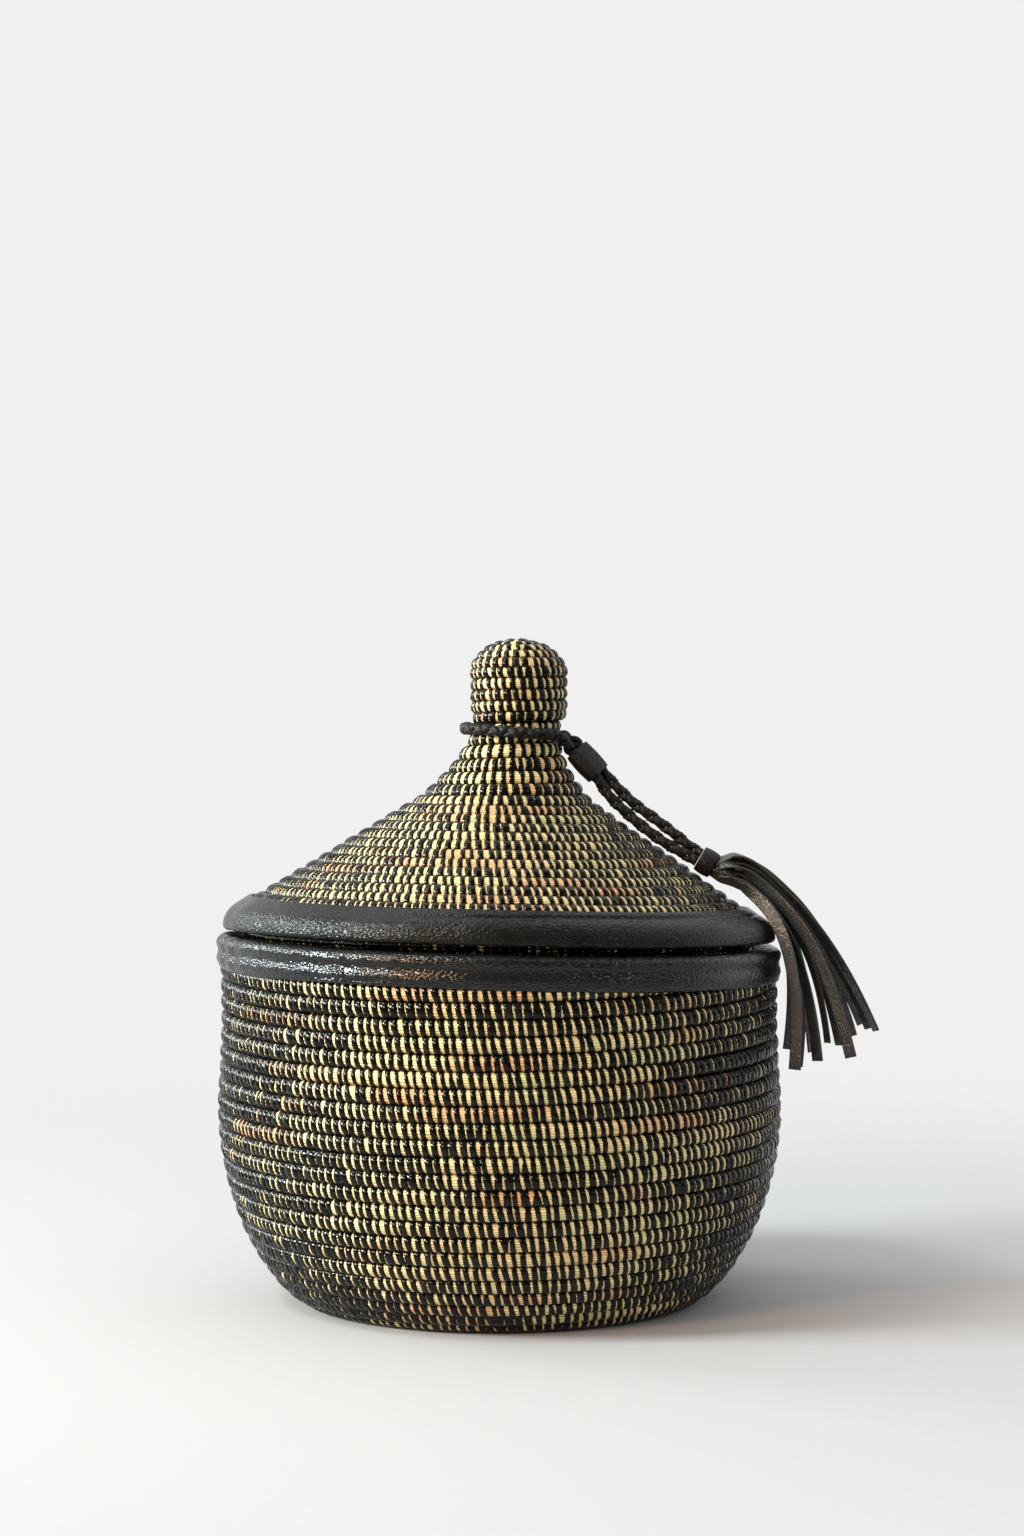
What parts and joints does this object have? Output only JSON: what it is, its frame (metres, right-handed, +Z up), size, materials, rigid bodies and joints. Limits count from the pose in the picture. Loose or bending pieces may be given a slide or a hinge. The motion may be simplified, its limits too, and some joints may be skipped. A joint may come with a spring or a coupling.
{
  "type": "lidded basket",
  "caption": "Round coiled grass basket with leather-bound rims, a lift-off cone lid with a round knob, and a braided cord with a leather tassel looped round the lid's neck.",
  "frame": {"origin": "centre of the basket's base, on the surface it stands on", "axes": "+Z up along the basket's axis; the tassel hangs at the +X side; the viewer of the picture is at -Y"},
  "size_m": [0.3549, 0.3012, 0.3555],
  "materials": {
    "grass_coil": "bundled grass bound with narrow glossy blackish-green strips, satin",
    "rim_leather": "black grained leather, glossy round the basket and duller on the lid",
    "braided_cord": "round braid of thin black leather strands, satin",
    "tassel_leather": "black leather strips, satin, with paler cut edges"
  },
  "bodies": {
    "basket": {"basket_base_coil": "grass_coil", "basket_wall_coil": "grass_coil", "basket_rim_leather": "rim_leather"},
    "lid": {"lid_cone_coil": "grass_coil", "lid_knob_coil": "grass_coil", "lid_rim_leather": "rim_leather", "lid_locating_ring": "grass_coil"},
    "neck_loop": {"neck_loop_cord": "braided_cord"},
    "tassel_cord": {"loop_bend_back": "braided_cord", "loop_bend_front": "braided_cord", "cord_keeper": "tassel_leather", "cord_leg_upper": "braided_cord", "cord_leg_lower": "braided_cord"},
    "tassel": {"leg_bend_upper": "braided_cord", "leg_bend_lower": "braided_cord", "tassel_head_band": "tassel_leather", "tassel_knot": "tassel_leather", "tassel_strip_01": "tassel_leather", "tassel_strip_02": "tassel_leather", "tassel_strip_03": "tassel_leather", "tassel_strip_04": "tassel_leather", "tassel_strip_05": "tassel_leather", "tassel_strip_06": "tassel_leather", "tassel_strip_07": "tassel_leather", "tassel_strip_08": "tassel_leather", "tassel_strip_09": "tassel_leather", "tassel_strip_10": "tassel_leather", "tassel_strip_11": "tassel_leather", "tassel_strip_12": "tassel_leather", "tassel_strip_13": "tassel_leather", "tassel_strip_14": "tassel_leather"}
  },
  "joints": [
    {"name": "lid_lift", "type": "slide", "parent": "basket", "child": "lid", "axis": [0, 0, 1], "range_m": [0, 0.15]},
    {"name": "loop_turn", "type": "hinge", "parent": "lid", "child": "neck_loop", "pos_m": [0.0088, 0, 0.305], "axis": [0.0245, 0.0137, 0.9996], "range_deg": [-15, 15]},
    {"name": "tassel_lift", "type": "hinge", "parent": "neck_loop", "child": "tassel_cord", "pos_m": [0.0405, -0.001, 0.2975], "axis": [0, -1, 0], "range_deg": [0, 90], "deforming": ["loop_bend_back", "loop_bend_front"]},
    {"name": "tassel_swing", "type": "hinge", "parent": "tassel_cord", "child": "tassel", "pos_m": [0.107, -0.008, 0.2386], "axis": [0, -1, 0], "range_deg": [0, 70], "deforming": ["leg_bend_upper", "leg_bend_lower"]}
  ]
}
